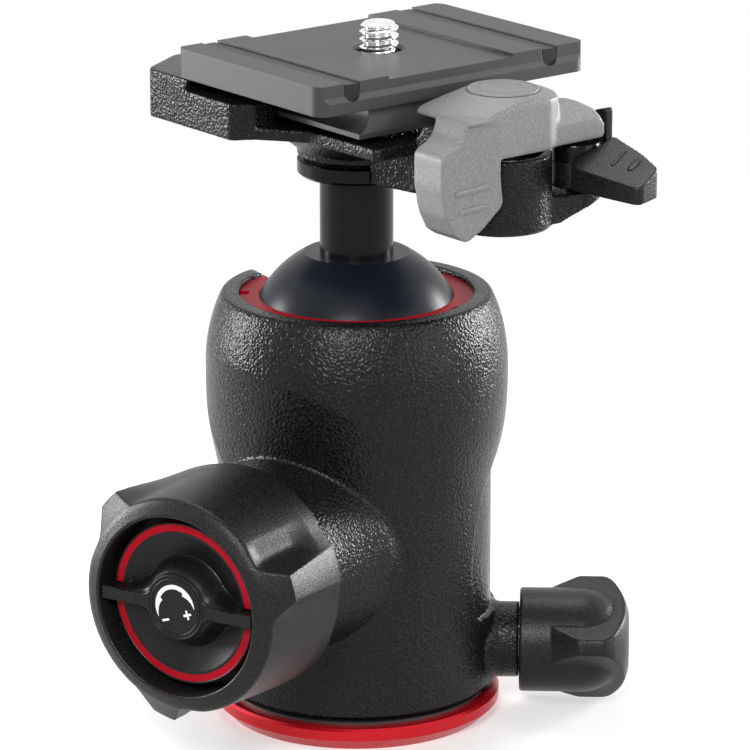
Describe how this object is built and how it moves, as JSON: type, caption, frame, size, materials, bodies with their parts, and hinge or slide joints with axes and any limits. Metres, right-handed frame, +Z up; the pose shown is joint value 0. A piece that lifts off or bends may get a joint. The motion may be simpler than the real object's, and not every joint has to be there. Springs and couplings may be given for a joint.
{
  "type": "tripod ball head",
  "caption": "Tripod ball head with a panning base, winged ball-lock knob with a friction dial, pan-lock knob and lever-locked quick-release plate.",
  "frame": {"origin": "mouth of the tripod thread, at the centre of the base's underside", "axes": "+Z up along the pan axis and the stem; -Y is the ball-lock knob's axis, pointing out of the body; the clamp is stored turned about the stem by 18.9 degrees clockwise seen from above"},
  "size_m": [0.0878, 0.0871, 0.1168],
  "materials": {
    "casting_black": "textured black powder coat",
    "anodised_red": "satin red anodising",
    "aluminium_bare": "turned",
    "steel": "machined",
    "ptfe": "matt",
    "liner_red": "satin red",
    "seat_polymer": "matt",
    "ball_black": "satin black anodising",
    "stem_black": "semi-gloss black",
    "brass": "turned",
    "knob_black": "fine satin black",
    "dial_black": "satin black",
    "lever_grey": "satin grey paint, fine grain",
    "plate_grey": "dark anodising",
    "rubber_black": "matt"
  },
  "bodies": {
    "base": {"base_disc": "anodised_red", "pan_spindle": "aluminium_bare", "thread_insert": "steel", "thrust_washer": "ptfe"},
    "housing": {"body_casting": "casting_black", "retaining_screws": "steel", "friction_ring": "liner_red", "lock_bush": "brass", "pan_lock_bush": "brass", "seat_pusher": "steel"},
    "wedge": {"lock_wedge": "steel"},
    "seat": {"ball_seat": "seat_polymer"},
    "ball": {"ball": "ball_black", "ball_stem": "stem_black", "platform_screw": "steel", "clamp_platform": "casting_black", "lever_pivot": "steel", "lever_spring": "steel", "catch_pin": "stem_black"},
    "lever": {"lever": "lever_grey", "lever_cap": "lever_grey"},
    "catch": {"safety_catch": "knob_black"},
    "trigger": {"trigger_pin": "brass"},
    "plate": {"release_plate": "plate_grey", "grip_cord_near": "rubber_black", "grip_cord_far": "rubber_black"},
    "camera_screw": {"camera_screw": "steel"},
    "lock_knob": {"lock_knob": "knob_black", "lock_screw": "steel", "dial_springs": "steel"},
    "friction_dial": {"friction_dial": "dial_black", "dial_ring": "liner_red", "dial_cap": "dial_black", "friction_rod": "steel"},
    "pan_knob": {"pan_knob": "knob_black", "pan_lock_screw": "steel"},
    "brake": {"brake_pad": "brass"}
  },
  "joints": [
    {"name": "pan", "type": "hinge", "parent": "base", "child": "housing", "pos_m": [0, 0, 0.0117], "axis": [0, 0, 1], "continuous": true},
    {"name": "ball_swivel", "type": "hinge", "parent": "housing", "child": "seat", "pos_m": [0, 0, 0.0624], "axis": [0, 0, 1], "range_deg": [-360, 0]},
    {"name": "ball_tilt", "type": "hinge", "parent": "seat", "child": "ball", "pos_m": [0, 0, 0.0624], "axis": [-0.5, -0.866, 0], "range_deg": [-38, 90]},
    {"name": "lock_knob_turn", "type": "hinge", "parent": "housing", "child": "lock_knob", "pos_m": [0, -0.04, 0.0324], "axis": [0, -1, 0], "range_deg": [0, 200]},
    {"name": "wedge_slide", "type": "slide", "parent": "housing", "child": "wedge", "axis": [0, -1, 0], "range_m": [0, 0.0008]},
    {"name": "friction_dial_turn", "type": "hinge", "parent": "lock_knob", "child": "friction_dial", "pos_m": [0, -0.05, 0.0324], "axis": [0, -1, 0], "range_deg": [-135, 135]},
    {"name": "pan_knob_turn", "type": "hinge", "parent": "housing", "child": "pan_knob", "pos_m": [0.03118, 0.018, 0.0117], "axis": [0.866, 0.5, 0], "range_deg": [0, 270]},
    {"name": "brake_slide", "type": "slide", "parent": "housing", "child": "brake", "axis": [0.866, 0.5, 0], "range_m": [0, 0.0008]},
    {"name": "lever_turn", "type": "hinge", "parent": "ball", "child": "lever", "pos_m": [0.0306, -0.00509, 0.105], "axis": [0, 0, 1], "range_deg": [0, 38], "stiffness_Nm_per_rad": 0.03, "springref_deg": -17.19},
    {"name": "catch_press", "type": "hinge", "parent": "ball", "child": "catch", "pos_m": [0.03784, 0.00553, 0.0956], "axis": [0, 0, -1], "range_deg": [0, 20], "stiffness_Nm_per_rad": 0.02, "springref_deg": -17.19},
    {"name": "trigger_press", "type": "slide", "parent": "ball", "child": "trigger", "axis": [0, 0, 1], "range_m": [-0.0008, 0], "stiffness_N_per_m": 400, "springref_m": 0.002},
    {"name": "plate_release", "type": "slide", "parent": "ball", "child": "plate", "axis": [0.3242, 0.946, 0], "range_m": [0, 0.058]},
    {"name": "camera_screw_turn", "type": "hinge", "parent": "plate", "child": "camera_screw", "pos_m": [0.00374, 0.00089, 0.11], "axis": [0, 0, 1], "continuous": true}
  ],
  "couplings": [
    {"joint": "wedge_slide", "follows": "lock_knob_turn", "m_per_rad": 0.00019894},
    {"joint": "brake_slide", "follows": "pan_knob_turn", "m_per_rad": 0.00015915}
  ]
}
